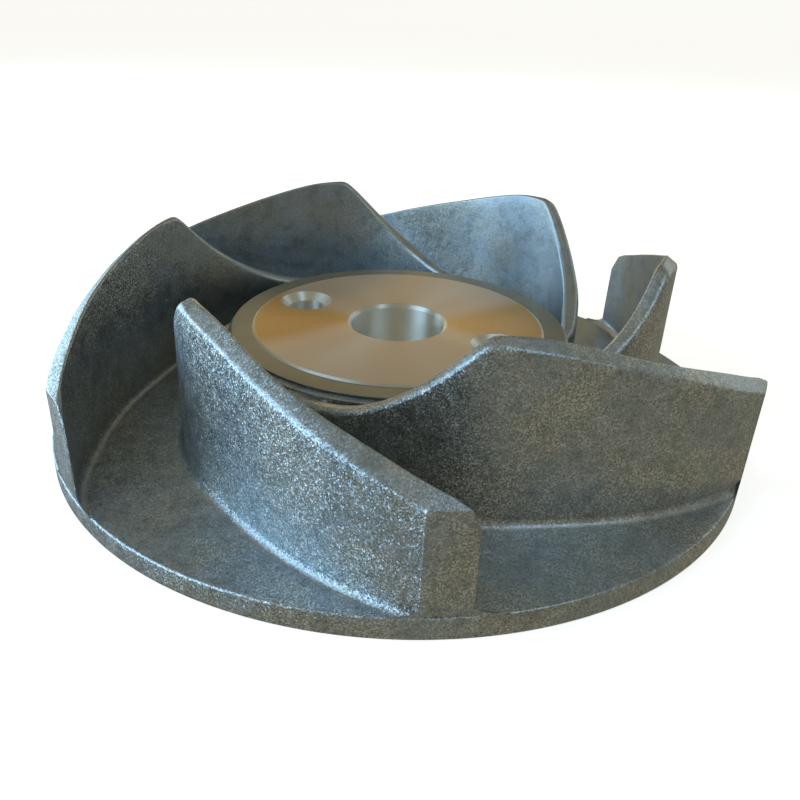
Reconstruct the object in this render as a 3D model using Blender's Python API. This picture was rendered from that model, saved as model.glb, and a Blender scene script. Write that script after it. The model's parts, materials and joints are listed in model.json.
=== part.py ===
# Semi-open radial water pump impeller, one casting with six swept vanes.
# Metres, +Z up. The origin is on the shaft axis, on the plane that the back disc rests on.

import math

import bmesh
import bpy
from mathutils import Matrix, Vector

# Driving dimensions of the back disc
RIM_RADIUS = 0.0585
RIM_THICKNESS = 0.0035
RIM_EDGE_BREAK = 0.0003
ROUND_STEPS = 120

# Driving dimensions of the hub
HUB_FACE_HEIGHT = 0.01775
HUB_FACE_RADIUS = 0.0244
HUB_STEP_DEPTH = 0.0002
HUB_RING_RADIUS = 0.0285
HUB_RING_DEPTH = 0.0011
BORE_RADIUS = 0.00794
BORE_CHAMFER = 0.0006

# Driving dimensions of the two tapped puller holes
PULLER_PITCH_RADIUS = 0.0186
PULLER_HOLE_RADIUS = 0.0033
PULLER_COUNTERSINK_RADIUS = 0.0046
PULLER_AZIMUTH = math.radians(152.8)
PULLER_STEPS = 32
CUTTER_OVERRUN = 0.002

# Floor of the passages, from the foot of the hub out to the rim, as radius and height
FLOOR_POINTS = (
    (0.0290, 0.0156),
    (0.0295, 0.0124),
    (0.0311, 0.0095),
    (0.0338, 0.0075),
    (0.0375, 0.0061),
    (0.0420, 0.0051),
    (0.0475, 0.0042),
    (0.0530, 0.0037),
)

# Driving dimensions of the vanes
VANE_COUNT = 6
VANE_END_HEIGHT = 0.01928
VANE_CROWN_SLOPE = 0.767
VANE_RAMP_SPAN = 45.0
VANE_RAMP_POWER = 2.4
VANE_LIP_HEIGHT = 0.0169
VANE_ROOT_HEIGHT = 0.0010
VANE_DRAFT_OUTSIDE = 0.0001
VANE_DRAFT_INSIDE = 0.00045
VANE_BREAK_OUTSIDE = 0.0005
VANE_BREAK_INSIDE = 0.0003
VANE_BEVEL_WIDTH = 0.0014
VANE_BEVEL_DROP = 0.0018
VANE_BEVEL_RUN = 0.0025
VANE_STEPS_TO_PEAK = 16
VANE_STEPS_TO_HUB = 16

# Convex side of one vane in plan, as azimuth in degrees, radius and thickness of the wall.
# The first point lies past the rim, where the vane is cut off, and the last inside the hub.
VANE_STATIONS = (
    (-12.0, 0.0644, 0.0027),
    (-26.2, 0.0585, 0.0026),
    (-36.0, 0.0541, 0.0024),
    (-48.0, 0.0492, 0.0022),
    (-60.0, 0.0452, 0.0020),
    (-72.0, 0.0427, 0.0020),
    (-82.0, 0.0404, 0.0021),
    (-92.0, 0.0375, 0.0026),
    (-99.0, 0.0353, 0.0036),
    (-106.0, 0.0332, 0.0055),
    (-116.0, 0.0308, 0.0042),
    (-126.0, 0.0282, 0.0025),
)
VANE_PEAK = 5
VANE_RIM_SEARCH = (0.2, 3.0)
VANE_RIM_HALVINGS = 40
VANE_TANGENT_STEP = 0.01
CAST_COLOUR = (0.34, 0.37, 0.39)
CAST_ROUGHNESS = 0.5
CAST_METALLIC = 0.85


def station_at(place):
    """Azimuth, radius and thickness on a smooth curve through the stations."""
    last = len(VANE_STATIONS) - 1
    index = min(max(int(place), 0), last - 1)
    t = place - index
    before = VANE_STATIONS[max(index - 1, 0)]
    start = VANE_STATIONS[index]
    end = VANE_STATIONS[index + 1]
    after = VANE_STATIONS[min(index + 2, last)]
    values = []
    for a, b, c, d in zip(before, start, end, after):
        value = b * (2 * t**3 - 3 * t**2 + 1) + (c - a) / 2 * (t**3 - 2 * t**2 + t)
        value += c * (3 * t**2 - 2 * t**3) + (d - b) / 2 * (t**3 - t**2)
        values.append(value)
    return values


def plan_point(place):
    azimuth, radius, _ = station_at(place)
    angle = math.radians(azimuth)
    return Vector((radius * math.cos(angle), radius * math.sin(angle)))


def side_point(place, proud):
    """Plan point beside the convex side: proud of it, or inside it where negative."""
    ahead = plan_point(place + VANE_TANGENT_STEP)
    behind = plan_point(place - VANE_TANGENT_STEP)
    along = (ahead - behind).normalized()
    outward = Vector((-along.y, along.x))
    if outward.dot(plan_point(place)) < 0.0:
        outward = -outward
    return plan_point(place) + outward * proud


def proud_of(edge, place):
    """How far each long edge of the wall stands off the convex side."""
    thickness = station_at(place)[2]
    return {
        "convex_foot": VANE_DRAFT_OUTSIDE,
        "convex_crown": 0.0,
        "concave_crown": -thickness,
        "concave_foot": -thickness - VANE_DRAFT_INSIDE,
    }[edge]


def rim_place(edge):
    """Place along the vane where one long edge meets the rim, found by halving."""
    low, high = VANE_RIM_SEARCH
    for _ in range(VANE_RIM_HALVINGS):
        middle = (low + high) / 2.0
        if side_point(middle, proud_of(edge, middle)).length > RIM_RADIUS:
            low = middle
        else:
            high = middle
    return high


def crown_height(place, point):
    """Height of the top edge: a turned cone out to the rim, and a ramp down to the hub."""
    if place <= VANE_PEAK:
        return VANE_END_HEIGHT + VANE_CROWN_SLOPE * (RIM_RADIUS - point.length)
    peak_azimuth, peak_radius, _ = VANE_STATIONS[VANE_PEAK]
    peak = VANE_END_HEIGHT + VANE_CROWN_SLOPE * (RIM_RADIUS - peak_radius)
    left = max(1.0 - (peak_azimuth - station_at(place)[0]) / VANE_RAMP_SPAN, 0.0)
    tilt = VANE_CROWN_SLOPE * (plan_point(place).length - point.length) * left
    return VANE_LIP_HEIGHT + (peak - VANE_LIP_HEIGHT) * left**VANE_RAMP_POWER + tilt


def section(step):
    """Six corners of the wall at one step along the vane, from the rim to the hub."""
    corners = {}
    for edge in ("convex_foot", "concave_foot", "concave_crown", "convex_crown"):
        start = rim_place(edge)
        if step <= VANE_STEPS_TO_PEAK:
            place = start + (VANE_PEAK - start) * step / VANE_STEPS_TO_PEAK
        else:
            rest = len(VANE_STATIONS) - 1 - VANE_PEAK
            place = VANE_PEAK + rest * (step - VANE_STEPS_TO_PEAK) / VANE_STEPS_TO_HUB
        flat = side_point(place, proud_of(edge, place))
        height = VANE_ROOT_HEIGHT if edge.endswith("foot") else crown_height(place, flat)
        corners[edge] = Vector((flat.x, flat.y, height))
    outer = corners["convex_crown"]
    inner = corners["concave_crown"]
    across = (outer - inner).normalized()
    to_rim = RIM_RADIUS - (outer.xy.length + inner.xy.length) / 2.0
    bevel = max(1.0 - to_rim / VANE_BEVEL_RUN, 0.0)
    inset = VANE_BREAK_INSIDE + (VANE_BEVEL_WIDTH - VANE_BREAK_INSIDE) * bevel
    drop = VANE_BREAK_INSIDE + (VANE_BEVEL_DROP - VANE_BREAK_INSIDE) * bevel
    return [
        corners["convex_foot"],
        corners["concave_foot"],
        inner - Vector((0.0, 0.0, drop)),
        inner + across * inset,
        outer - across * VANE_BREAK_OUTSIDE,
        outer - Vector((0.0, 0.0, VANE_BREAK_OUTSIDE)),
    ]


def make_vane(turn):
    """One vane as a closed wall with its foot sunk in the disc, turned about the axis."""
    bm = bmesh.new()
    loops = []
    for step in range(VANE_STEPS_TO_PEAK + VANE_STEPS_TO_HUB + 1):
        ring = [bm.verts.new(corner) for corner in section(step)]
        loops.append([bm.edges.new(pair) for pair in zip(ring, ring[1:] + ring[:1])])
    for first, second in zip(loops, loops[1:]):
        bmesh.ops.bridge_loops(bm, edges=first + second)
    for loop in (loops[0], loops[-1]):
        bmesh.ops.contextual_create(bm, geom=loop)
    bmesh.ops.recalc_face_normals(bm, faces=bm.faces)
    bmesh.ops.transform(bm, matrix=Matrix.Rotation(turn, 4, "Z"), verts=bm.verts)
    return bm


def spin_outline(outline, steps, closed):
    """Turned body about the Z axis from an outline of radius and height."""
    bm = bmesh.new()
    ring = [bm.verts.new((radius, 0.0, height)) for radius, height in outline]
    following = ring[1:] + ring[:1] if closed else ring[1:]
    edges = [bm.edges.new(pair) for pair in zip(ring, following)]
    bmesh.ops.spin(
        bm,
        geom=ring + edges,
        cent=(0.0, 0.0, 0.0),
        axis=(0.0, 0.0, 1.0),
        angle=2.0 * math.pi,
        steps=steps,
        use_merge=True,
    )
    bmesh.ops.remove_doubles(bm, verts=bm.verts, dist=1e-7)
    bmesh.ops.recalc_face_normals(bm, faces=bm.faces)
    return bm


def disc_outline():
    """Half section of the disc, hub and bore, from the foot of the bore outwards."""
    ring_top = HUB_FACE_HEIGHT - HUB_STEP_DEPTH
    outline = [
        (BORE_RADIUS, BORE_CHAMFER),
        (BORE_RADIUS + BORE_CHAMFER, 0.0),
        (RIM_RADIUS - RIM_EDGE_BREAK, 0.0),
        (RIM_RADIUS, RIM_EDGE_BREAK),
        (RIM_RADIUS, RIM_THICKNESS - RIM_EDGE_BREAK),
        (RIM_RADIUS - RIM_EDGE_BREAK, RIM_THICKNESS),
    ]
    outline += reversed(FLOOR_POINTS)
    outline += [
        (HUB_RING_RADIUS, ring_top - HUB_RING_DEPTH),
        (HUB_RING_RADIUS, ring_top),
        (HUB_FACE_RADIUS, ring_top),
        (HUB_FACE_RADIUS, HUB_FACE_HEIGHT),
        (BORE_RADIUS + BORE_CHAMFER, HUB_FACE_HEIGHT),
        (BORE_RADIUS, HUB_FACE_HEIGHT - BORE_CHAMFER),
    ]
    return outline


def puller_cutter(turn):
    """A puller hole with its countersink, as a turned cutter right through the hub."""
    sink_depth = PULLER_COUNTERSINK_RADIUS - PULLER_HOLE_RADIUS
    outline = [
        (0.0, -CUTTER_OVERRUN),
        (PULLER_HOLE_RADIUS, -CUTTER_OVERRUN),
        (PULLER_HOLE_RADIUS, HUB_FACE_HEIGHT - sink_depth),
        (PULLER_COUNTERSINK_RADIUS + CUTTER_OVERRUN, HUB_FACE_HEIGHT + CUTTER_OVERRUN),
        (0.0, HUB_FACE_HEIGHT + CUTTER_OVERRUN),
    ]
    bm = spin_outline(outline, PULLER_STEPS, False)
    bmesh.ops.translate(bm, vec=(PULLER_PITCH_RADIUS, 0.0, 0.0), verts=bm.verts)
    bmesh.ops.transform(bm, matrix=Matrix.Rotation(turn, 4, "Z"), verts=bm.verts)
    return bm


def new_object(name, bm):
    mesh = bpy.data.meshes.new(name)
    bm.to_mesh(mesh)
    bm.free()
    item = bpy.data.objects.new(name, mesh)
    bpy.context.collection.objects.link(item)
    return item


def cast_material():
    material = bpy.data.materials.new("cast_grey_metal")
    material.use_nodes = True
    shader = material.node_tree.nodes["Principled BSDF"]
    shader.inputs["Base Color"].default_value = (*CAST_COLOUR, 1.0)
    shader.inputs["Roughness"].default_value = CAST_ROUGHNESS
    shader.inputs["Metallic"].default_value = CAST_METALLIC
    material.diffuse_color = (*CAST_COLOUR, 1.0)
    return material


def combine(body, guide, operation):
    """Add one guide shape to the body, or cut it away, and hide the guide itself."""
    modifier = body.modifiers.new(guide.name, "BOOLEAN")
    modifier.operation = operation
    modifier.solver = "EXACT"
    modifier.object = guide
    guide.hide_render = True
    guide.display_type = "WIRE"


def build():
    for item in list(bpy.data.objects):
        bpy.data.objects.remove(item, do_unlink=True)
    casting = new_object("impeller_casting", spin_outline(disc_outline(), ROUND_STEPS, True))
    casting.data.materials.append(cast_material())
    for index in range(VANE_COUNT):
        turn = index * 2.0 * math.pi / VANE_COUNT
        combine(casting, new_object(f"vane_guide_{index + 1}", make_vane(turn)), "UNION")
    for index in range(2):
        turn = PULLER_AZIMUTH + index * math.pi
        combine(casting, new_object(f"puller_guide_{index + 1}", puller_cutter(turn)), "DIFFERENCE")


build()
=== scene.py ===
import json
import math

import bmesh
import bpy
from mathutils import Matrix, Vector, noise


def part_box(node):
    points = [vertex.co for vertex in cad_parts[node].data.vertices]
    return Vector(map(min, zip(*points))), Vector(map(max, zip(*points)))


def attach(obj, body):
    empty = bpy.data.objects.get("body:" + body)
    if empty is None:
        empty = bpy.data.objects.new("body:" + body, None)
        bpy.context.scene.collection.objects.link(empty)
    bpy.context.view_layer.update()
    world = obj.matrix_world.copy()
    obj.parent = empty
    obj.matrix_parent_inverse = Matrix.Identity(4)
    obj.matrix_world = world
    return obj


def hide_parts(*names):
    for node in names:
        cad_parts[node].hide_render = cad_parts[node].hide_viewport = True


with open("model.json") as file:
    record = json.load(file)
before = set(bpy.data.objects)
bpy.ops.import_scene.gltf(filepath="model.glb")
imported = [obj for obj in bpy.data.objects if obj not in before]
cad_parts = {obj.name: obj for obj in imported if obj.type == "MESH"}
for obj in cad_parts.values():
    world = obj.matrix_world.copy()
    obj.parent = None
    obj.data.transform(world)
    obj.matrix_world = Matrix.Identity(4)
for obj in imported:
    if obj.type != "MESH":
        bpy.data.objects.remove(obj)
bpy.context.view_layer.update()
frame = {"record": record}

# Names and sizes that come from the frame, in metres
CASTING = "impeller_casting"
BODY = "root"
RIM_CLEARANCE = 0.00002
_, casting_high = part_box(CASTING)
RIM_RADIUS = casting_high.x - RIM_CLEARANCE
mounts = {mount["name"]: mount for mount in frame["record"]["mounts"]}
HUB_FACE_HEIGHT = mounts["hub_face"]["pos_m"][2]

# Back disc and floor of the passages, as radius and height. The floor's curve ends a few
# steps before its last point, and a straight run goes on to the rim
RIM_THICKNESS = 0.0035
RIM_EDGE_ROUND = 0.00035
RIM_EDGE_STEPS = 5
FLOOR_POINTS = (
    (0.0289, 0.0165),
    (0.0295, 0.0124),
    (0.0311, 0.0095),
    (0.0338, 0.0075),
    (0.0375, 0.0061),
    (0.0420, 0.0051),
    (0.0475, 0.0042),
    (0.0530, 0.0037),
    (RIM_RADIUS, RIM_THICKNESS),
)
FLOOR_STEPS = 7
FLOOR_CURVE_END = -4
TURNING_STEPS = 360

# Hub
HUB_FACE_RADIUS = 0.0244
HUB_STEP_DEPTH = 0.0003
HUB_EDGE_RUN = 0.0004
HUB_EDGE_ROUND = 0.0001
HUB_RING_RADIUS = 0.0285
HUB_RING_DEPTH = 0.0005
HUB_RING_ROUND = 0.00012
HUB_RING_UNDERCUT = 0.0006
HUB_EDGE_STEPS = 4
BORE_RADIUS = 0.00794
BORE_CHAMFER = 0.0006

# Puller holes
PULLER_PITCH_RADIUS = 0.0186
PULLER_HOLE_RADIUS = 0.0033
PULLER_COUNTERSINK_RADIUS = 0.0046
PULLER_AZIMUTH = math.radians(152.8)
PULLER_AZIMUTHS = (PULLER_AZIMUTH, PULLER_AZIMUTH + math.pi)
PULLER_STEPS = 72
CUTTER_OVERRUN = 0.002

# Finishes of the disc's faces, in the order of its materials, and the play at their borders
AS_CAST, HUB_FACE, HUB_RING, BRIGHT = range(4)
BORDER_PLAY = 0.00005

# Vanes: convex side in plan as azimuth in degrees, radius, and thickness of the wall
VANE_STATIONS = (
    (-12.0, 0.0644, 0.0026),
    (-26.2, 0.0585, 0.0026),
    (-36.0, 0.0541, 0.0028),
    (-48.0, 0.0492, 0.0023),
    (-60.0, 0.0452, 0.0023),
    (-72.0, 0.0427, 0.0024),
    (-82.0, 0.0404, 0.0025),
    (-92.0, 0.0375, 0.0027),
    (-99.0, 0.0353, 0.0028),
    (-106.0, 0.0332, 0.0028),
    (-116.0, 0.0308, 0.0026),
    (-126.0, 0.0282, 0.0023),
)
VANE_COUNT = 6
VANE_PEAK_STATION = 5
VANE_PEAK_AZIMUTH = -73.2
VANE_END_HEIGHT = 0.01928
VANE_CROWN_SLOPE = 0.767
VANE_RAMP_SPAN = 44.0
VANE_RAMP_POWER = 2.2
VANE_RAMP_TILT = 0.25
VANE_TOP = 0.0334
VANE_PEAK_HEIGHT = 0.0331
VANE_PEAK_SOFTNESS = 0.0012
VANE_LIP_HEIGHT = 0.0163
VANE_ROOT_HEIGHT = 0.0010
VANE_FOOT_TOP = 0.0164
VANE_FILLET_OUTSIDE = 0.0012
VANE_FILLET_INSIDE = 0.0014

# Rounding of the crown's two edges: at the outer end, at the middle and at the nose
OUTSIDE_ROUNDS = (0.0004, 0.0008, 0.0012)
INSIDE_INSETS = (0.0002, 0.0003, 0.0007)
INSIDE_DROPS = (0.0003, 0.0004, 0.0007)
INSIDE_ROUNDS = (0.00035, 0.0005, 0.0012)
INSIDE_DRAFTS = (0.00005, 0.0003, 0.0003)
CROWN_MIDDLE = 0.5
NOSE_START = 0.85
NOSE_RUN = 0.20

# Outer end of a vane: the bevel at its inside edge and the rounding of its outline
END_BEVEL_INSET = 0.0005
END_BEVEL_DROP = 0.0031
END_BEVEL_RUN = 0.0008
END_EDGE_ROUND = 0.00028
END_EDGE_STEPS = 4
END_EDGE_SHARE = 0.045

# Cast skin that is never quite true, and how far above the rim its waves are full
WAVE_SEED = 1
WAVE_DEPTH = 0.00007
WAVE_LENGTH = 0.0065
WAVE_RISE = 0.003

# Fineness of the vane mesh, and how its foot is sunk in the disc
STEPS_TO_PEAK = 90
STEPS_TO_HUB = 76
WALL_ROWS = 12
CROWN_ROWS = 4
ROUND_ROWS = 7
EDGE_ROWS = 4
FILLET_ROWS = 7
SUNK_REACH = 0.0003
SUNK_DEPTH = 0.00006

# Tracks beside the convex side, and the search for the places where they meet the rim
TANGENT_STEP = 0.01
RIM_SEARCH = (0.2, 3.0)
RIM_HALVINGS = 30
TRACK_LOW = -0.009
TRACK_STEP = 0.0002
TRACK_COUNT = 66

# Limits and angles of the mesh tools
CORNER_LIMIT = 0.49
MERGE_DISTANCE = 1e-7
DISC_SHARP_ANGLE = 28.0
VANE_SHARP_ANGLE = 40.0

# Camera, matched to the photograph
CAMERA_DISTANCE = 0.15252
CAMERA_ELEVATION = math.radians(28.21)
CAMERA_PAN = math.radians(2.137)
CAMERA_TILT = math.radians(-1.100)
CAMERA_ROLL = math.radians(2.395)
CAMERA_LENS = 37.68
CAMERA_SENSOR = 36.0
CAMERA_SHIFT = (0.048, 0.0339)
CAMERA_CLIP_START = 0.005

# Pale dish under the part: its level radius, and the curve of its edge
DISH_RADIUS = 0.9
DISH_CURVE = 0.6
DISH_CURVE_STEPS = 14
DISH_STEP_ANGLE = 6.0
DISH_TURNING_STEPS = 96
DISH_COLOUR = (0.82, 0.82, 0.82, 1.0)
DISH_GLOW_COLOUR = (1.0, 1.0, 1.0, 1.0)
DISH_GLOW = 0.72

# Soft panels of light: name, azimuth and elevation in degrees, size, power and colour
LIGHT_DISTANCE = 0.50
LIGHTS = (
    ("cool_left", (157.0, 5.0), (0.45, 0.25), 1.3, (0.50, 0.77, 1.0)),
    ("cool_near", (-155.0, 5.0), (0.45, 0.25), 1.3, (0.42, 0.72, 1.0)),
    ("cool_above", (-150.0, 38.0), (0.30, 0.25), 0.75, (0.45, 0.73, 1.0)),
    ("cool_front", (-40.0, 50.0), (0.06, 0.20), 0.2, (0.45, 0.75, 1.0)),
    ("pale_right", (38.0, 18.0), (0.30, 0.25), 0.15, (0.80, 0.95, 1.0)),
    ("warm_behind", (98.0, 18.0), (0.30, 0.20), 0.20, (1.0, 0.74, 0.38)),
)
WORLD_COLOUR = (1.0, 0.93, 0.68, 1.0)
WORLD_STRENGTH = 0.28


def mix(a, b, share):
    return a + (b - a) * share


def ease(share):
    """From 0 to 1 with no corner at either end."""
    share = min(max(share, 0.0), 1.0)
    return share * share * (3.0 - 2.0 * share)


def lower_of(first, second, softness):
    """The lower of two heights, with no corner where one takes over from the other."""
    return (first + second - math.hypot(first - second, softness)) / 2.0


def through(points, index, t):
    """Values on a smooth curve through rows of numbers, between one row and the next."""
    last = len(points) - 1
    rows = (
        points[max(index - 1, 0)],
        points[index],
        points[index + 1],
        points[min(index + 2, last)],
    )
    values = []
    for a, b, c, d in zip(*rows):
        value = b * (2 * t**3 - 3 * t**2 + 1) + (c - a) / 2 * (t**3 - 2 * t**2 + t)
        value += c * (3 * t**2 - 2 * t**3) + (d - b) / 2 * (t**3 - t**2)
        values.append(value)
    return values


def smooth_floor():
    """The floor's profile from the hub to the rim, as many short steps."""
    profile = []
    for index in range(len(FLOOR_POINTS) - 1):
        for step in range(FLOOR_STEPS):
            profile.append(through(FLOOR_POINTS, index, step / FLOOR_STEPS))
    profile.append(list(FLOOR_POINTS[-1]))
    return profile


FLOOR_PROFILE = smooth_floor()


def floor_height(radius):
    """Height of the floor of the passages at one radius."""
    if radius <= FLOOR_PROFILE[0][0]:
        return FLOOR_PROFILE[0][1]
    for (r0, z0), (r1, z1) in zip(FLOOR_PROFILE, FLOOR_PROFILE[1:]):
        if radius <= r1:
            return mix(z0, z1, (radius - r0) / (r1 - r0))
    return FLOOR_PROFILE[-1][1]


def round_corner(before, corner, after, radius, steps):
    """Points of an arc that rounds one corner of an outline."""
    to_before = (before - corner).normalized()
    to_after = (after - corner).normalized()
    half = math.acos(max(-1.0, min(1.0, to_before.dot(to_after)))) / 2.0
    reach = radius / math.tan(half)
    limit = CORNER_LIMIT * min((before - corner).length, (after - corner).length)
    if reach > limit:
        radius *= limit / reach
        reach = limit
    centre = corner + (to_before + to_after).normalized() * (radius / math.sin(half))
    start = corner + to_before * reach - centre
    end = corner + to_after * reach - centre
    points = []
    for step in range(steps + 1):
        share = step / steps
        spoke = (start * (1.0 - share) + end * share).normalized()
        points.append(centre + spoke * radius)
    return points


def rounded_outline(corners, steps):
    """An outline with a radius at each corner: rows of point and radius, ends kept sharp."""
    points = [corners[0][0]]
    for (before, _), (corner, radius), (after, _) in zip(corners, corners[1:], corners[2:]):
        if radius > 0.0:
            points += round_corner(before, corner, after, radius, steps)
        else:
            points.append(corner)
    points.append(corners[-1][0])
    return points


def new_piece(name, bm, finishes):
    """An object from a finished bmesh, with its place in its mesh."""
    mesh = bpy.data.meshes.new(name)
    bm.to_mesh(mesh)
    bm.free()
    piece = bpy.data.objects.new(name, mesh)
    bpy.context.collection.objects.link(piece)
    for finish in finishes:
        mesh.materials.append(finish)
    return piece


def shade(piece, sharp_angle):
    """Smooth shading, but for the edges that turn by more than this many degrees."""
    piece.data.shade_smooth()
    piece.data.set_sharp_from_angle(angle=math.radians(sharp_angle))


def spin_outline(outline, steps):
    """A turned body about the Z axis from an outline of radius and height."""
    bm = bmesh.new()
    ring = [bm.verts.new((point[0], 0.0, point[1])) for point in outline]
    edges = [bm.edges.new(pair) for pair in zip(ring, ring[1:])]
    bmesh.ops.spin(
        bm,
        geom=ring + edges,
        cent=(0.0, 0.0, 0.0),
        axis=(0.0, 0.0, 1.0),
        angle=2.0 * math.pi,
        steps=steps,
        use_merge=True,
    )
    bmesh.ops.remove_doubles(bm, verts=bm.verts, dist=MERGE_DISTANCE)
    bmesh.ops.recalc_face_normals(bm, faces=bm.faces)
    return bm


def casting_outline():
    """Half section of the disc and hub, closed, from the bore's foot round to it again."""
    ring_top = HUB_FACE_HEIGHT - HUB_STEP_DEPTH
    shoulder = ring_top - HUB_RING_DEPTH
    corners = [
        (Vector((BORE_RADIUS, BORE_CHAMFER)), 0.0),
        (Vector((BORE_RADIUS + BORE_CHAMFER, 0.0)), 0.0),
        (Vector((RIM_RADIUS, 0.0)), RIM_EDGE_ROUND),
        (Vector((RIM_RADIUS, RIM_THICKNESS)), RIM_EDGE_ROUND),
        (Vector(FLOOR_PROFILE[FLOOR_CURVE_END]), 0.0),
    ]
    outline = rounded_outline(corners, RIM_EDGE_STEPS)
    outline += [Vector(point) for point in reversed(FLOOR_PROFILE[:FLOOR_CURVE_END])]
    corners = [
        (Vector(FLOOR_PROFILE[0]), 0.0),
        (Vector((HUB_RING_RADIUS - HUB_RING_UNDERCUT, shoulder)), 0.0),
        (Vector((HUB_RING_RADIUS, ring_top)), HUB_RING_ROUND),
        (Vector((HUB_FACE_RADIUS + HUB_EDGE_RUN, ring_top)), 0.0),
        (Vector((HUB_FACE_RADIUS, HUB_FACE_HEIGHT)), HUB_EDGE_ROUND),
        (Vector((BORE_RADIUS + BORE_CHAMFER, HUB_FACE_HEIGHT)), BORE_CHAMFER / 4),
        (Vector((BORE_RADIUS, HUB_FACE_HEIGHT - BORE_CHAMFER)), BORE_CHAMFER / 4),
        (Vector((BORE_RADIUS, BORE_CHAMFER)), 0.0),
    ]
    outline += rounded_outline(corners, HUB_EDGE_STEPS)[1:]
    return outline


def puller_cutter(name, turn):
    """A puller hole with its countersink, as a turned cutter right through the hub."""
    sink_depth = PULLER_COUNTERSINK_RADIUS - PULLER_HOLE_RADIUS
    outline = (
        (0.0, -CUTTER_OVERRUN),
        (PULLER_HOLE_RADIUS, -CUTTER_OVERRUN),
        (PULLER_HOLE_RADIUS, HUB_FACE_HEIGHT - sink_depth),
        (PULLER_COUNTERSINK_RADIUS + CUTTER_OVERRUN, HUB_FACE_HEIGHT + CUTTER_OVERRUN),
        (0.0, HUB_FACE_HEIGHT + CUTTER_OVERRUN),
    )
    bm = spin_outline(outline, PULLER_STEPS)
    bmesh.ops.translate(bm, vec=(PULLER_PITCH_RADIUS, 0.0, 0.0), verts=bm.verts)
    bmesh.ops.transform(bm, matrix=Matrix.Rotation(turn, 4, "Z"), verts=bm.verts)
    return new_piece(name, bm, [])


def cut_away(piece, cutters):
    """Cut shapes out of a piece for good, and remove the cutters."""
    for cutter in cutters:
        cut = piece.modifiers.new(cutter.name, "BOOLEAN")
        cut.operation = "DIFFERENCE"
        cut.solver = "EXACT"
        cut.object = cutter
    settled = piece.evaluated_get(bpy.context.evaluated_depsgraph_get())
    mesh = bpy.data.meshes.new_from_object(settled)
    piece.modifiers.clear()
    before = piece.data
    piece.data = mesh
    bpy.data.meshes.remove(before)
    for cutter in cutters:
        bpy.data.objects.remove(cutter, do_unlink=True)


def disc_surface(centre):
    """Which finish a face of the disc has: the bore, countersinks and hub's edge are bright."""
    radius = centre.xy.length
    for turn in PULLER_AZIMUTHS:
        hole = Vector((math.cos(turn), math.sin(turn))) * PULLER_PITCH_RADIUS
        if (centre.xy - hole).length < PULLER_COUNTERSINK_RADIUS - BORDER_PLAY:
            return BRIGHT
    if radius < BORE_RADIUS + BORE_CHAMFER - BORDER_PLAY and centre.z > BORDER_PLAY:
        return BRIGHT
    if centre.z < HUB_FACE_HEIGHT - HUB_STEP_DEPTH - HUB_RING_DEPTH / 2:
        return AS_CAST
    if radius < HUB_FACE_RADIUS - BORDER_PLAY:
        return HUB_FACE
    return BRIGHT if radius < HUB_FACE_RADIUS + HUB_EDGE_RUN else HUB_RING


def make_disc(finishes):
    """The back disc, the hub and the floor between the vanes, as one turned piece."""
    piece = new_piece("casting_disc", spin_outline(casting_outline(), TURNING_STEPS), finishes)
    cutters = [puller_cutter(f"puller_cutter_{turn:.1f}", turn) for turn in PULLER_AZIMUTHS]
    cut_away(piece, cutters)
    for face in piece.data.polygons:
        face.material_index = disc_surface(face.center)
    shade(piece, DISC_SHARP_ANGLE)
    return piece


def station_at(place):
    """Azimuth, radius and thickness of the vane at one place along its stations."""
    index = min(max(int(place), 0), len(VANE_STATIONS) - 2)
    return through(VANE_STATIONS, index, place - index)


def plan_point(place):
    """Plan point of the convex side at one place along the stations."""
    azimuth, radius, _ = station_at(place)
    angle = math.radians(azimuth)
    return Vector((radius * math.cos(angle), radius * math.sin(angle)))


def side_point(place, proud):
    """Plan point beside the convex side: proud of it, or inside it where negative."""
    ahead = plan_point(place + TANGENT_STEP)
    behind = plan_point(place - TANGENT_STEP)
    along = (ahead - behind).normalized()
    outward = Vector((-along.y, along.x))
    if outward.dot(plan_point(place)) < 0.0:
        outward = -outward
    return plan_point(place) + outward * proud


def search_rim(proud):
    """Place along the stations where a track beside the convex side meets the rim."""
    low, high = RIM_SEARCH
    for _ in range(RIM_HALVINGS):
        middle = (low + high) / 2.0
        if side_point(middle, proud).length > RIM_RADIUS:
            low = middle
        else:
            high = middle
    return high


RIM_PLACES = [search_rim(TRACK_LOW + TRACK_STEP * step) for step in range(TRACK_COUNT)]


def rim_place(proud):
    """The same place, read off between the tracks that were searched."""
    step = (proud - TRACK_LOW) / TRACK_STEP
    index = min(max(int(step), 0), TRACK_COUNT - 2)
    return mix(RIM_PLACES[index], RIM_PLACES[index + 1], step - index)


def track_place(share, proud):
    """Place at a share of the way: 0 at the rim, 1 at the peak and 2 at the hub."""
    if share < 1.0:
        return mix(rim_place(proud), VANE_PEAK_STATION, share)
    return mix(VANE_PEAK_STATION, len(VANE_STATIONS) - 1, share - 1.0)


def track_point(share, proud):
    """Plan point of a track beside the convex side, at a share of the way."""
    return side_point(track_place(share, proud), proud)


def along_vane(values, share):
    """A value that runs from the outer end to the middle of the crown and on to the nose."""
    end, middle, nose = values
    if share < CROWN_MIDDLE:
        return mix(end, middle, ease(share / CROWN_MIDDLE))
    return mix(middle, nose, ease((share - NOSE_START) / NOSE_RUN))


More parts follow.
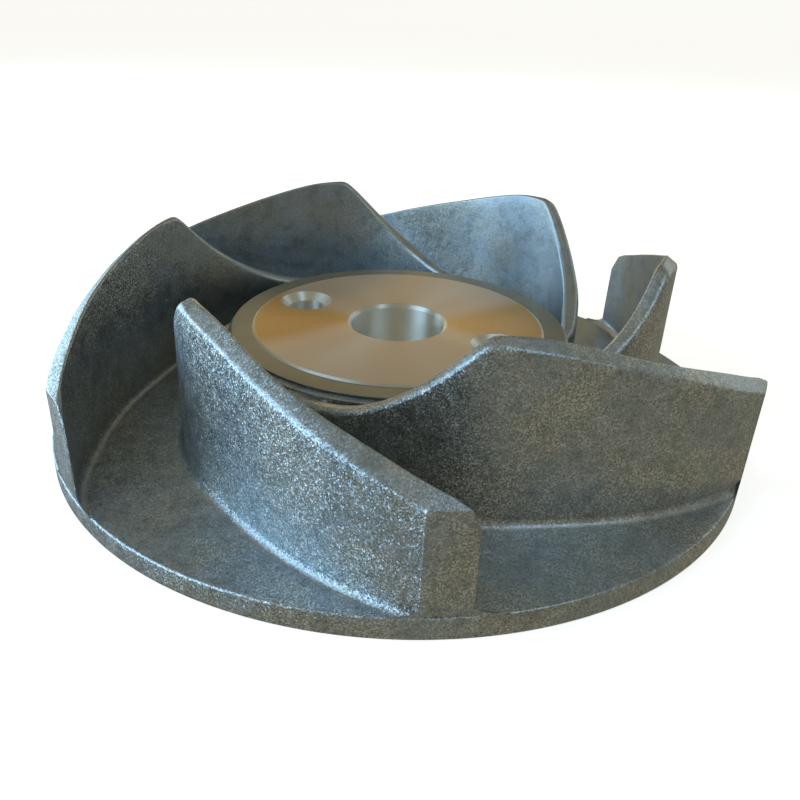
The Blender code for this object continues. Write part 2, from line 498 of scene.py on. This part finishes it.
def crown_height(share, proud):
    """Height of the top edge: a turned cone, a ramp and a level top, blended softly."""
    point = track_point(share, proud)
    cone = VANE_END_HEIGHT + VANE_CROWN_SLOPE * (RIM_RADIUS - point.length)
    azimuth, radius, _ = station_at(track_place(share, proud))
    left = max(1.0 - (VANE_PEAK_AZIMUTH - azimuth) / VANE_RAMP_SPAN, 0.0)
    tilt = VANE_RAMP_TILT * (radius - point.length) * min(left, 1.0)
    rise = VANE_PEAK_HEIGHT - VANE_LIP_HEIGHT
    ramp = VANE_LIP_HEIGHT + rise * left**VANE_RAMP_POWER + tilt
    return lower_of(lower_of(cone, ramp, VANE_PEAK_SOFTNESS), VANE_TOP, VANE_PEAK_SOFTNESS)


def foot_point(share, proud, lift):
    """A point this far above the floor, but never above the hub's shoulder."""
    height = floor_height(track_point(share, proud).length) + lift
    return Vector((proud, min(height, VANE_FOOT_TOP)))


def wall_corners(share):
    """Corners of the wall's section as distance from the convex side and height."""
    thickness = station_at(track_place(share, 0.0))[2]
    middle = track_point(share, -thickness / 2.0)
    reach = RIM_RADIUS - middle.length
    bevel = max(1.0 - reach / END_BEVEL_RUN, 0.0) if share < 1.0 else 0.0
    inner = -thickness
    inset = max(along_vane(INSIDE_INSETS, share), END_BEVEL_INSET * bevel)
    drop = max(along_vane(INSIDE_DROPS, share), END_BEVEL_DROP * bevel)

    def crown(proud):
        return Vector((proud, crown_height(share, proud)))

    inside_foot = inner - along_vane(INSIDE_DRAFTS, share)
    edge = crown(inner)
    edge.y -= drop
    inside_round = along_vane(INSIDE_ROUNDS, share)
    return [
        (foot_point(share, 0.0, VANE_FILLET_OUTSIDE), 0.0),
        (crown(0.0), along_vane(OUTSIDE_ROUNDS, share)),
        (crown(inner + inset), inside_round),
        (edge, inside_round),
        (foot_point(share, inside_foot, VANE_FILLET_INSIDE), 0.0),
    ]


def foot_rows(share, wall, radius, side):
    """The foot's fillet from the wall out onto the floor, then down into the disc."""
    rows = []
    for step in range(1, FILLET_ROWS + 1):
        angle = math.pi / 2.0 * step / FILLET_ROWS
        proud = wall + side * radius * (1.0 - math.cos(angle))
        rows.append(foot_point(share, proud, radius * (1.0 - math.sin(angle))))
    proud = rows[-1].x + side * SUNK_REACH
    sunk = foot_point(share, proud, -SUNK_DEPTH)
    return rows + [sunk, Vector((proud, VANE_ROOT_HEIGHT))]


def spread(start, end, rows):
    """Points between two points, without the first and with the last."""
    return [start + (end - start) * step / rows for step in range(1, rows + 1)]


def vane_section(share):
    """The whole section as one closed row of distance and height, always as many points."""
    corners = wall_corners(share)
    foot_out, top_out, top_in, edge_in, foot_in = [point for point, _ in corners]
    radii = [radius for _, radius in corners]
    arc_out = round_corner(foot_out, top_out, top_in, radii[1], ROUND_ROWS)
    arc_top = round_corner(top_out, top_in, edge_in, radii[2], EDGE_ROWS)
    arc_in = round_corner(top_in, edge_in, foot_in, radii[3], EDGE_ROWS)
    rows = list(reversed(foot_rows(share, foot_out.x, VANE_FILLET_OUTSIDE, 1.0)))
    rows.append(foot_out)
    rows += spread(foot_out, arc_out[0], WALL_ROWS)
    rows += arc_out[1:]
    rows += spread(arc_out[-1], arc_top[0], CROWN_ROWS)
    rows += arc_top[1:]
    rows += spread(arc_top[-1], arc_in[0], 1)
    rows += arc_in[1:]
    rows += spread(arc_in[-1], foot_in, WALL_ROWS)
    rows += foot_rows(share, foot_in.x, VANE_FILLET_INSIDE, -1.0)
    return rows


def wavy(point):
    """A point of the cast skin moved a little, as a casting is never quite true."""
    drift = noise.noise_vector(point / WAVE_LENGTH) * WAVE_DEPTH
    return point + drift * ease((point.z - RIM_THICKNESS) / WAVE_RISE)


def vane_ring(share):
    """One ring of points round the wall, as places in space."""
    ring = []
    for row in vane_section(share):
        flat = track_point(share, row.x)
        ring.append(Vector((flat.x, flat.y, row.y)))
    return ring


def end_rings(first):
    """Rings that round the edges of the outer end, whose face is flush with the rim."""
    middle = sum(first, Vector()) / len(first)
    rings = []
    for step in range(END_EDGE_STEPS):
        angle = math.pi / 2.0 * step / END_EDGE_STEPS
        inset = END_EDGE_ROUND * (1.0 - math.sin(angle))
        sink = END_EDGE_ROUND * (1.0 - math.cos(angle))
        ring = []
        for before, point, after in zip(first[-1:] + first, first, first[1:] + first[:1]):
            across = (after - before).cross(middle).normalized()
            if across.dot(middle - point) < 0.0:
                across = -across
            moved = point + across * inset
            flat = moved.xy.normalized() * (RIM_RADIUS - sink)
            ring.append(Vector((flat.x, flat.y, moved.z)))
        rings.append(ring)
    return rings


def make_vane_mesh():
    """One vane with its crown, leading edge and foot fillets, its foot sunk in the disc."""
    shares = [mix(END_EDGE_SHARE, 1.0, step / STEPS_TO_PEAK) for step in range(STEPS_TO_PEAK)]
    shares += [1.0 + step / STEPS_TO_HUB for step in range(STEPS_TO_HUB + 1)]
    rings = end_rings(vane_ring(0.0)) + [vane_ring(share) for share in shares]
    # Without a seed the waves would be other ones each run
    noise.seed_set(WAVE_SEED)
    bm = bmesh.new()
    loops = []
    for ring in rings:
        verts = [bm.verts.new(wavy(point)) for point in ring]
        loops.append([bm.edges.new(pair) for pair in zip(verts, verts[1:] + verts[:1])])
    for first, second in zip(loops, loops[1:]):
        bmesh.ops.bridge_loops(bm, edges=first + second)
    for loop in (loops[0], loops[-1]):
        bmesh.ops.contextual_create(bm, geom=loop)
    bmesh.ops.recalc_face_normals(bm, faces=bm.faces)
    return bm


def make_vanes(finish):
    """Six equal vanes round the hub."""
    pattern = make_vane_mesh()
    pieces = []
    for index in range(VANE_COUNT):
        bm = pattern.copy()
        turn = index * 2.0 * math.pi / VANE_COUNT
        bmesh.ops.transform(bm, matrix=Matrix.Rotation(turn, 4, "Z"), verts=bm.verts)
        piece = new_piece(f"vane_{index + 1}", bm, [finish])
        shade(piece, VANE_SHARP_ANGLE)
        pieces.append(piece)
    pattern.free()
    return pieces


class Value:
    """A shader socket that takes arithmetic and adds its own Math nodes."""

    def __init__(self, finish, socket):
        self.finish = finish
        self.socket = socket

    def work(self, operation, first, second=0.0):
        settings = {"operation": operation}
        return self.finish.node("ShaderNodeMath", settings, {0: first, 1: second})

    def __add__(self, other):
        return self.work("ADD", self, other)

    def __radd__(self, other):
        return self.work("ADD", other, self)

    def __sub__(self, other):
        return self.work("SUBTRACT", self, other)

    def __rsub__(self, other):
        return self.work("SUBTRACT", other, self)

    def __mul__(self, other):
        return self.work("MULTIPLY", self, other)

    def __rmul__(self, other):
        return self.work("MULTIPLY", other, self)

    def __abs__(self):
        return self.work("ABSOLUTE", self)

    def root(self):
        return self.work("SQRT", self)


class Finish:
    """A material whose shader is written as expressions on its values."""

    def __init__(self, name, **constants):
        """A new material, with plain values set on the shader's own sockets."""
        self.material = bpy.data.materials.new(name)
        self.material.use_nodes = True
        self.tree = self.material.node_tree
        self.shader = self.tree.nodes["Principled BSDF"]
        for socket, value in constants.items():
            self.shader.inputs[socket.replace("_", " ")].default_value = value

    def node(self, kind, settings=None, inputs=None, output=0):
        """A new node: its settings first, then the values or links of its sockets."""
        made = self.tree.nodes.new(kind)
        for name, value in (settings or {}).items():
            setattr(made, name, value)
        for name, value in (inputs or {}).items():
            self.feed(made.inputs[name], value)
        return Value(self, made.outputs[output])

    def feed(self, socket, value):
        if isinstance(value, Value):
            self.tree.links.new(value.socket, socket)
        else:
            socket.default_value = value

    def finish(self, **fields):
        """The material, with what changes over the surface fed to the shader."""
        for socket, value in fields.items():
            self.feed(self.shader.inputs[socket.replace("_", " ")], value)
        return self.material

    def place(self):
        return self.node("ShaderNodeTexCoord", output="Object")

    def axis(self, name):
        return self.node("ShaderNodeSeparateXYZ", None, {0: self.place()}, output=name)

    def surface_normal(self):
        return self.node("ShaderNodeNewGeometry", output="Normal")

    def upward(self):
        """1 on a level surface and 0 on an upright one."""
        return self.node("ShaderNodeSeparateXYZ", None, {0: self.surface_normal()}, output="Z")

    def noise(self, scale, detail, roughness, vector=None):
        inputs = {"Scale": scale, "Detail": detail, "Roughness": roughness}
        inputs["Vector"] = vector or self.place()
        return self.node("ShaderNodeTexNoise", None, inputs)

    def cells(self, scale):
        """A different shade for each of many tiny crystals."""
        inputs = {"Vector": self.place(), "Scale": scale}
        return self.node("ShaderNodeTexVoronoi", None, inputs, output="Color")

    def band(self, value, start, end):
        """0 before the start and 1 past the end, softly between; the end may be the lower."""
        settings = {"interpolation_type": "SMOOTHSTEP"}
        inputs = {"Value": value, "From Min": start, "From Max": end}
        return self.node("ShaderNodeMapRange", settings, inputs)

    def fade(self, value, span, left):
        """1 before a span of the value, and this much left past it."""
        return 1.0 - self.band(value, *span) * (1.0 - left)

    def blend(self, share, first, second):
        """A colour between two colours."""
        settings = {"data_type": "RGBA", "blend_type": "MIX"}
        inputs = {0: share, 6: self.opaque(first), 7: self.opaque(second)}
        return self.node("ShaderNodeMix", settings, inputs, output=2)

    def opaque(self, colour):
        return colour if isinstance(colour, Value) else (*colour, 1.0)

    def vector(self, operation, inputs):
        return self.node("ShaderNodeVectorMath", {"operation": operation}, inputs)

    def facets(self, cells, lean):
        """A normal that leans another way on each crystal, so that some of them glint."""
        turn = self.vector("SUBTRACT", {0: cells, 1: (0.5, 0.5, 0.5)})
        turn = self.vector("SCALE", {0: turn, "Scale": lean})
        return self.vector("NORMALIZE", {0: self.vector("ADD", {0: self.surface_normal(), 1: turn})})

    def bump(self, height, distance, strength, normal=None):
        inputs = {"Height": height, "Distance": distance, "Strength": strength}
        if normal:
            inputs["Normal"] = normal
        return self.node("ShaderNodeBump", None, inputs)


# As-cast skin: its colours, and the scales of its patterns
CAST_PIT = (0.10, 0.12, 0.12)
CAST_DARK = (0.24, 0.28, 0.30)
CAST_MIDDLE = (0.38, 0.43, 0.47)
CAST_LIGHT = (0.90, 0.92, 0.92)
CAST_WARM = (0.39, 0.40, 0.38)
CRYSTAL_SCALE = 5200.0
GRAIN_SCALE = 3600.0
MOTTLE_SCALE = 420.0
CLOUD_SCALE = 90.0

# Where each pattern starts and is full
CLUSTER_BAND = (0.40, 0.60)
SPECKLE_BAND = (0.45, 0.70)
WARM_BAND = (0.40, 0.62)
DARK_BAND = (0.52, 0.32)
PIT_BAND = (0.47, 0.36)

# Where the grain weakens, to the back, to the right and on smoother skin, and what is left of it
GRAIN_FADE = (-0.012, 0.014)
GRAIN_LEFT = 0.3
GLINT_FADE = (0.006, 0.022)
GLINT_LEFT = 0.25
SMOOTH_FADE = (0.45, 0.70)
SMOOTH_LEFT = 0.65
SHOULDER_RISE = 50.0

# Lean of the crystals, roughness and depth of the grain
FACET_LEAN = 0.45
CAST_ROUGHNESS = 0.40
CAST_ROUGHNESS_SWING = 0.2
CAST_BUMP_DEPTH = 0.00010
CAST_BUMP_STRENGTH = 0.8

# Painted shade in the corners of the vanes, darker where they are hemmed in
SHADE_REACH = 0.012
SHADE_SAMPLES = 8
SHADE_BAND = (0.20, 0.80)
PAINTED_SHADE_DARK = (0.06, 0.065, 0.06)
VANE_PAINTED_SHADE = 0.6


def shoulder(f):
    """Grows with height, so that the skin is smoother up the hub's shoulder."""
    return f.axis("Z") * SHOULDER_RISE


def cast_finish(name, painted_shade, smoothness):
    """As-cast grey metal: fine glinting crystals on a mottled skin, with painted shade in its
    corners if asked for.
    """
    f = Finish(name, Metallic=0.95)
    cells = f.cells(CRYSTAL_SCALE)
    grain = f.noise(GRAIN_SCALE, 2.0, 0.6)
    mottle = f.noise(MOTTLE_SCALE, 3.0, 0.6)
    cloud = f.noise(CLOUD_SCALE, 3.0, 0.55)
    coarse = f.fade(f.axis("Y"), GRAIN_FADE, GRAIN_LEFT)
    coarse = coarse * f.fade(smoothness(f), SMOOTH_FADE, SMOOTH_LEFT)
    cluster = f.band(mottle * 0.5 + cloud * 0.5, *CLUSTER_BAND)
    # A crystal's colour counts here as the grey that a Math node makes of it
    speckle = f.band(cells * 0.6 + grain * 0.4, *SPECKLE_BAND) * coarse
    colour = f.blend(f.band(cloud, *WARM_BAND), CAST_MIDDLE, CAST_WARM)
    colour = f.blend(f.band(mottle, *DARK_BAND) * 0.5, colour, CAST_DARK)
    colour = f.blend(f.band(grain, *PIT_BAND) * coarse * 0.5, colour, CAST_PIT)
    colour = f.blend(speckle * (0.28 + cluster * 0.45), colour, CAST_LIGHT)
    # Painted shade: the colour darkens where ambient occlusion finds the surface hemmed in
    if painted_shade:
        settings = {"samples": SHADE_SAMPLES}
        inputs = {"Distance": SHADE_REACH}
        open_sky = f.node("ShaderNodeAmbientOcclusion", settings, inputs, output="AO")
        hemmed_in = 1.0 - f.band(open_sky, *SHADE_BAND)
        colour = f.blend(hemmed_in * painted_shade, colour, PAINTED_SHADE_DARK)
    rough = CAST_ROUGHNESS + (mottle - 0.5) * CAST_ROUGHNESS_SWING
    glint = coarse * f.fade(f.axis("X"), GLINT_FADE, GLINT_LEFT)
    facets = f.facets(cells, glint * FACET_LEAN)
    height = grain * 0.5 * coarse + mottle * 0.8
    normal = f.bump(height, CAST_BUMP_DEPTH, CAST_BUMP_STRENGTH, facets)
    return f.finish(Base_Color=colour, Roughness=rough, Normal=normal)


# Turned hub face: its colours, the warm bands of painted reflection beside the bore, and the scales
# of its rings
HUB_TAN = (0.67, 0.55, 0.43)
HUB_PAINTED_REFLECTION = (0.53, 0.33, 0.10)
HUB_GREY = (0.58, 0.50, 0.40)
HUB_REFLECTION_FADE = (0.0, 0.45)
HUB_REFLECTION_SLANT = 1.4
FINE_RING_SCALE = 26000.0
BROAD_RING_SCALE = 1800.0


def hub_finish():
    """Turned face with fine rings, and warm bands of painted reflection to the left and right of the
    bore.
    """
    f = Finish("turned_hub_face", Metallic=0.75, Anisotropic=0.8, Anisotropic_Rotation=0.25)
    across = f.axis("X")
    along = f.axis("Y")
    radius = (across * across + along * along).root()
    side = abs(across) * (1.0 / HUB_FACE_RADIUS)
    depth = abs(along) * (1.0 / HUB_FACE_RADIUS)
    # Painted reflection: warm bands left and right of the bore, as a turned face shows of warm
    # surroundings
    warm = f.band(side - depth * HUB_REFLECTION_SLANT, *HUB_REFLECTION_FADE)
    colour = f.blend(warm, HUB_TAN, HUB_PAINTED_REFLECTION)
    ring_place = f.node("ShaderNodeCombineXYZ", None, {0: radius})
    rings = f.noise(FINE_RING_SCALE, 2.0, 0.6, ring_place)
    broad = f.noise(BROAD_RING_SCALE, 2.0, 0.5, ring_place)
    colour = f.blend(f.band(broad, 0.3, 0.7) * 0.15, colour, HUB_GREY)
    rough = 0.42 + rings * 0.10
    normal = f.bump(rings, 0.00001, 0.35)
    return f.finish(Base_Color=colour, Roughness=rough, Normal=normal)


RING_DARK = (0.24, 0.23, 0.17)
RING_OLIVE = (0.33, 0.31, 0.24)


def ring_finish():
    """The lower machined ring round the hub face, duller and more olive."""
    f = Finish("turned_hub_ring", Metallic=0.7)
    cloud = f.noise(220.0, 3.0, 0.6)
    grain = f.noise(3000.0, 2.0, 0.6)
    colour = f.blend(cloud, RING_DARK, RING_OLIVE)
    rough = 0.38 + grain * 0.14
    normal = f.bump(grain, 0.00002, 0.4)
    return f.finish(Base_Color=colour, Roughness=rough, Normal=normal)


BORE_GREY = (0.80, 0.81, 0.76)
BORE_PALE = (0.92, 0.92, 0.88)


def bore_finish():
    """Bored and countersunk metal, bright, whose turning marks draw light into streaks."""
    f = Finish("bored_metal", Metallic=1.0, Anisotropic=0.9, Anisotropic_Rotation=0.25)
    cloud = f.noise(400.0, 2.0, 0.5)
    colour = f.blend(cloud, BORE_GREY, BORE_PALE)
    return f.finish(Base_Color=colour, Roughness=0.42 + cloud * 0.08)


def make_camera():
    """The camera that sees the part from the photograph's side."""
    camera = bpy.data.objects.new("camera", bpy.data.cameras.new("camera"))
    bpy.context.collection.objects.link(camera)
    turn = Matrix.Rotation(math.pi / 2.0 - CAMERA_ELEVATION, 4, "X")
    turn @= Matrix.Rotation(CAMERA_PAN, 4, "Y")
    turn @= Matrix.Rotation(CAMERA_TILT, 4, "X")
    turn @= Matrix.Rotation(CAMERA_ROLL, 4, "Z")
    back = -CAMERA_DISTANCE * math.cos(CAMERA_ELEVATION)
    up = CAMERA_DISTANCE * math.sin(CAMERA_ELEVATION)
    camera.matrix_world = Matrix.Translation((0.0, back, up)) @ turn
    camera.data.lens = CAMERA_LENS
    camera.data.sensor_width = CAMERA_SENSOR
    camera.data.shift_x, camera.data.shift_y = CAMERA_SHIFT
    camera.data.clip_start = CAMERA_CLIP_START
    bpy.context.scene.camera = camera


def make_floor():
    """A wide pale dish: a level floor whose edge curves up behind everything."""
    outline = [Vector((0.0, 0.0)), Vector((DISH_RADIUS, 0.0))]
    for step in range(1, DISH_CURVE_STEPS + 1):
        angle = math.radians(DISH_STEP_ANGLE * step)
        radius = DISH_RADIUS + DISH_CURVE * math.sin(angle)
        outline.append(Vector((radius, DISH_CURVE - DISH_CURVE * math.cos(angle))))
    bm = spin_outline(outline, DISH_TURNING_STEPS)
    bmesh.ops.reverse_faces(bm, faces=[face for face in bm.faces if face.normal.z < 0.0])
    pale = Finish(
        "pale_floor",
        Roughness=0.9,
        Base_Color=DISH_COLOUR,
        Emission_Color=DISH_GLOW_COLOUR,
        Emission_Strength=DISH_GLOW,
    )
    floor = new_piece("floor", bm, [pale.material])
    floor.data.shade_smooth()
    # The camera sees the dish, but the part gets no light, reflection or shadow from it
    floor.visible_diffuse = False
    floor.visible_glossy = False
    floor.visible_shadow = False


def add_light(name, direction, size, power, colour):
    """A soft panel in one direction from the object, turned to face it."""
    light = bpy.data.lights.new(name, "AREA")
    light.shape = "RECTANGLE"
    light.size, light.size_y = size
    light.energy = power
    light.color = colour
    lamp = bpy.data.objects.new(name, light)
    bpy.context.collection.objects.link(lamp)
    azimuth, elevation = direction
    turn = Matrix.Rotation(math.radians(azimuth), 4, "Z")
    turn @= Matrix.Rotation(math.radians(-elevation), 4, "Y")
    away = turn.to_3x3() @ Vector((1.0, 0.0, 0.0))
    facing = away.to_track_quat("Z", "Y").to_matrix().to_4x4()
    lamp.matrix_world = Matrix.Translation(away * LIGHT_DISTANCE) @ facing


def make_world():
    """Faint warm light from all round, and plain display colours."""
    world = bpy.data.worlds.new("studio")
    world.use_nodes = True
    background = world.node_tree.nodes["Background"]
    background.inputs["Color"].default_value = WORLD_COLOUR
    background.inputs["Strength"].default_value = WORLD_STRENGTH
    bpy.context.scene.world = world
    bpy.context.scene.view_settings.view_transform = "Standard"


def build():
    """The dressed part, then what stands round it for the picture."""
    floor_skin = cast_finish("cast_floor_and_rim", 0.0, shoulder)
    # Only the vanes get painted shade in their corners
    vane_skin = cast_finish("cast_vanes", VANE_PAINTED_SHADE, Finish.upward)
    disc = make_disc([floor_skin, hub_finish(), ring_finish(), bore_finish()])
    for piece in [disc] + make_vanes(vane_skin):
        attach(piece, BODY)
        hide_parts(CASTING)
    make_camera()
    make_floor()
    for light in LIGHTS:
        add_light(*light)
    make_world()


build()
